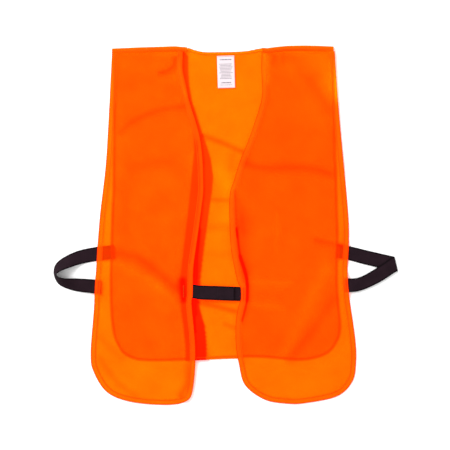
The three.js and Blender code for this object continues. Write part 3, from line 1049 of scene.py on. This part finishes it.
def bar_tack(node_name, body, lay, turn=0.0, rise=0.0, height=PLY_TOP):
    """A dense zigzag of thread across webbing, in the place of the CAD tack."""
    low, high = cad_corners(node_name)
    x, y, _ = (low + high) / 2
    y += rise
    half = (high[1] - low[1]) / 2
    ys = np.linspace(-half, half, TACK_STITCHES)
    xs = np.where(np.arange(TACK_STITCHES) % 2 == 0, -TACK_REACH, TACK_REACH)
    base = lay(np.column_stack([
        x + xs * math.cos(turn) - ys * math.sin(turn), y + xs * math.sin(turn) + ys * math.cos(turn),
    ]))
    base[:, 2] += height
    tack = stitches(f"{node_name}_thread", base[:-1], base[1:], orange_thread, THREAD, 0.18)
    placed(tack, node_name, body)


def level(height):
    """A lay() for flat things."""
    return lambda places: np.column_stack([places, np.full(len(places), height)])


bar_tack("right_elastic_back_tack", "back", level(ELASTIC_TOP_Z))
bar_tack("left_elastic_back_tack", "back", level(ELASTIC_TOP_Z))
bar_tack("right_elastic_front_tack", "right_front", lay_right, -0.05, height=HEM_TOP)
bar_tack("left_elastic_front_tack", "left_front", lay_left, 0.05, height=HEM_TOP)
bar_tack("closure_strap_tack", "right_front", lay_right, rise=tabled(CLOSURE_LIE, -74))
bar_tack("closure_tab_tack", "left_front", lay_left, rise=tabled(CLOSURE_LIE, 33), height=HEM_TOP)


# ---- closure

PATCH_STITCH_INSET = 1.6
PATCH_STITCH_PITCH = 2.6
TUFT_STEP = 0.9
TUFT_LOW = 0.6  # the shortest tuft, as a share of the longest


def askew(places):
    """The closure's places, moved to the line that it lies on."""
    moved = np.array(places, float)
    moved[..., 1] += tabled(CLOSURE_LIE, moved[..., 0])
    return moved


def stitch_box(name, low, high, z, body):
    """A sewn rectangle just inside a patch's edge."""
    x0, y0 = low[:2] + PATCH_STITCH_INSET
    x1, y1 = high[:2] - PATCH_STITCH_INSET
    corners = np.array([(x0, y0), (x1, y0), (x1, y1), (x0, y1), (x0, y0)], float)
    starts, ends = stitch_row(even(corners, 0.5), level(z), PATCH_STITCH_PITCH, (0.0,))
    sewn = stitches(name, askew(starts), askew(ends), black_thread, FINE_THREAD, 0.12)
    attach(sewn, body)


def nap_patch(node_name, name, material, body, up):
    """Hook or loop tape: a thin pad whose upper or lower face is a field of small tufts."""
    low, high = cad_corners(node_name)
    columns = round((high[0] - low[0]) / TUFT_STEP)
    rows = round((high[1] - low[1]) / TUFT_STEP)
    xs, ys = np.meshgrid(np.linspace(low[0], high[0], columns), np.linspace(low[1], high[1], rows))
    edge = np.minimum.reduce([xs - low[0], high[0] - xs, ys - low[1], high[1] - ys])
    random = np.random.RandomState(9)
    tufts = TUFT_LOW + (1 - TUFT_LOW) * random.uniform(0, 1, xs.shape) * (edge > 0.5)
    face = low[2] + (high[2] - low[2]) * tufts
    other = np.full(xs.shape, low[2] if up else high[2])
    if not up:
        face = high[2] + low[2] - face
    points, faces = pad(askew(np.stack([xs, ys, face], -1)), askew(np.stack([xs, ys, other], -1)))
    placed(make(name, points, faces, material), node_name, body)


def flat_webbing(name, line, low, high):
    """A length of closure webbing between two y's, along a line of (x, z)."""
    edges = [askew([(x, y, z) for x, z in line]) for y in (high, low)]
    return webbing(name, *edges, webbing_cloth, ribs=12, rib_height=0.06)[0]


def build_strap():
    """The strap, in one length: its sewn end under the right front, then up and onto the tab."""
    base_low, base_high = cad_corners("closure_strap_base")
    low, high = cad_corners("closure_strap")
    half = (base_high[2] - base_low[2]) / 2
    base_z = base_low[2] + half
    strap_z = high[2] - half
    end = high[0]
    line = [
        (base_low[0], base_z), (-66, base_z), (-56, base_z), (-46, base_z), (-38, (base_z + strap_z) / 2),
        (-30, strap_z), (-10, strap_z + 0.15), (5, strap_z + 0.1), (end - 2, strap_z), (end, strap_z - 0.1),
    ]
    strap = flat_webbing("closure_webbing", line, low[1], high[1])
    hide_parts("closure_strap", "closure_strap_base")
    fold_x = (base_high[0] + PLAN_ZERO[0]) * MM
    end = (fold_x + 0.006, -0.12, 0.005)
    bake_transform(strap)
    return high[2]


def build_tab():
    """The tab under the strap's free end."""
    low, high = cad_corners("closure_tab")
    z = (low[2] + high[2]) / 2
    line = [(x, z) for x in np.linspace(low[0], high[0], 5)]
    placed(flat_webbing("closure_tab_webbing", line, low[1], high[1]), "closure_tab", "left_front")


strap_top = build_strap()
build_tab()
nap_patch("closure_hook_patch", "closure_hook_tape", hook_nap, "left_front", True)
nap_patch("closure_loop_patch", "closure_loop_tape", loop_nap, "closure_strap", False)
stitch_box("closure_strap_stitches", *cad_corners("closure_loop_patch"), strap_top - 0.02, "closure_strap")


# ---- care label

LABEL_WIDTH = 31.0
LABEL_HEIGHT = 58.0
LABEL_TURN = 0.03
LABEL_PIVOT = (1.0, PANEL_TOP - 9.4)
LABEL_THICKNESS = 0.3
LABEL_GRID = (17, 30)


def laid_label(u, v):
    """Where places across and along the label lie. Its lower corners curl up."""
    x = LABEL_PIVOT[0] + u * math.cos(LABEL_TURN) - v * math.sin(LABEL_TURN)
    y = LABEL_PIVOT[1] + u * math.sin(LABEL_TURN) + v * math.cos(LABEL_TURN)
    curl = 0.9 * ease(-v, 0.55 * LABEL_HEIGHT, LABEL_HEIGHT) * (u / LABEL_WIDTH * 1.4) ** 2
    z = lay_back(np.column_stack([x.ravel(), y.ravel()]))[:, 2].reshape(x.shape)
    return np.stack([x, y, z + 0.75 + curl + 0.25 * np.sin(v / 9)], -1)


def build_bars():
    """Rows of plain grey bars, where the care text would be: each (how far down, height, length)."""
    random = np.random.RandomState(4)
    rows = [(-7.0, 1.7, 20.0)] + [(-15.0 - 2.6 * i, 0.95, random.uniform(15, 24)) for i in range(11)]
    rows += [(-48.5, 1.7, 17.0), (-52.5, 0.6, 21.0)]
    points = []
    quads = []
    for at, tall, long in rows:
        left = -long / 2
        while left < long / 2 - 1:
            word = min(random.uniform(1.6, 4.6), long / 2 - left)
            across = np.linspace(left, left + word, 4)
            u, v = np.meshgrid(across, np.array([at + tall / 2, at - tall / 2]))
            quads += [[i + len(points) for i in quad] for quad in grid(2, 4)]
            points += (laid_label(u, v) + [0, 0, 0.06]).reshape(-1, 3).tolist()
            left += word + 0.9
    return make("label_marks", np.array(points), quads, label_ink, closed=False)


def build_label():
    """A white tape sewn in by its top."""
    half = LABEL_WIDTH / 2
    columns, rows = LABEL_GRID
    u, v = np.meshgrid(np.linspace(-half, half, columns), np.linspace(0, -LABEL_HEIGHT, rows))
    top = laid_label(u, v)
    points, faces = pad(top, top - [0, 0, LABEL_THICKNESS])
    flat = np.column_stack([u.ravel(), v.ravel()])
    tape = make("label_tape", points, faces, label_cloth, cloth=np.vstack([flat, flat]))
    placed(tape, "care_label", "back")
    marks = build_bars()
    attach(marks, "back")
    across = np.linspace(-half + 0.6, half - 0.6, 12)
    line = laid_label(across, np.full(len(across), -1.5))
    line[:, 2] += 0.12
    sewn = stitches("label_stitches", line[:-1], line[1:], orange_thread, FINE_THREAD, 0.15)
    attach(sewn, "back")


build_label()


# ---- floor, light and camera

FLOOR_HALF = 12.0
FLOOR_Z = -0.0003
LIGHT_SIZE = 1.4
LIGHT_POWER = 75
LIGHT_PLACE = (-1.5, 1.5, 1.9)
FRAME_WIDTH = 0.81
CAMERA_PLACE = (-0.0007, 0.0009, 2.4)
SENSOR = 36.0


def build_floor():
    material, tree = new_material("studio_floor")
    place = node(tree, "TexCoord").outputs["Object"]
    base = blended(tree, noise(tree, place, 4), (0.93, 0.93, 0.93, 1), (0.96, 0.96, 0.955, 1))
    output(tree, node(tree, "BsdfPrincipled", {}, {"Base Color": base, "Roughness": 0.9}).outputs[0])
    mesh = bpy.data.meshes.new("studio_floor")
    corners = [(x * FLOOR_HALF, y * FLOOR_HALF, FLOOR_Z) for x, y in ((-1, -1), (1, -1), (1, 1), (-1, 1))]
    mesh.from_pydata(corners, [], [(0, 1, 2, 3)])
    mesh.materials.append(material)
    floor = bpy.data.objects.new("studio_floor", mesh)
    bpy.context.scene.collection.objects.link(floor)


def build_light():
    """White light from all round, and one large lamp over the wearer's right shoulder."""
    world = bpy.data.worlds.new("studio")
    world.use_nodes = True
    background = world.node_tree.nodes["Background"].inputs
    background["Color"].default_value = (1, 1, 1, 1)
    background["Strength"].default_value = 1.0
    bpy.context.scene.world = world
    data = bpy.data.lights.new("key", "AREA")
    data.shape = "SQUARE"
    data.size = LIGHT_SIZE
    data.energy = LIGHT_POWER
    key = bpy.data.objects.new("key", data)
    key.location = LIGHT_PLACE
    key.rotation_euler = (-key.location).to_track_quat("-Z", "Y").to_euler()
    bpy.context.scene.collection.objects.link(key)


def build_camera():
    """A camera straight above, with FRAME_WIDTH of the floor in view."""
    data = bpy.data.cameras.new("camera")
    data.sensor_width = SENSOR
    data.lens = SENSOR * CAMERA_PLACE[2] / FRAME_WIDTH
    camera = bpy.data.objects.new("camera", data)
    camera.location = CAMERA_PLACE
    bpy.context.scene.collection.objects.link(camera)
    bpy.context.scene.camera = camera


build_floor()
build_light()
build_camera()
bpy.context.scene.view_settings.view_transform = "Standard"
bpy.context.scene.cycles.transparent_max_bounces = 32
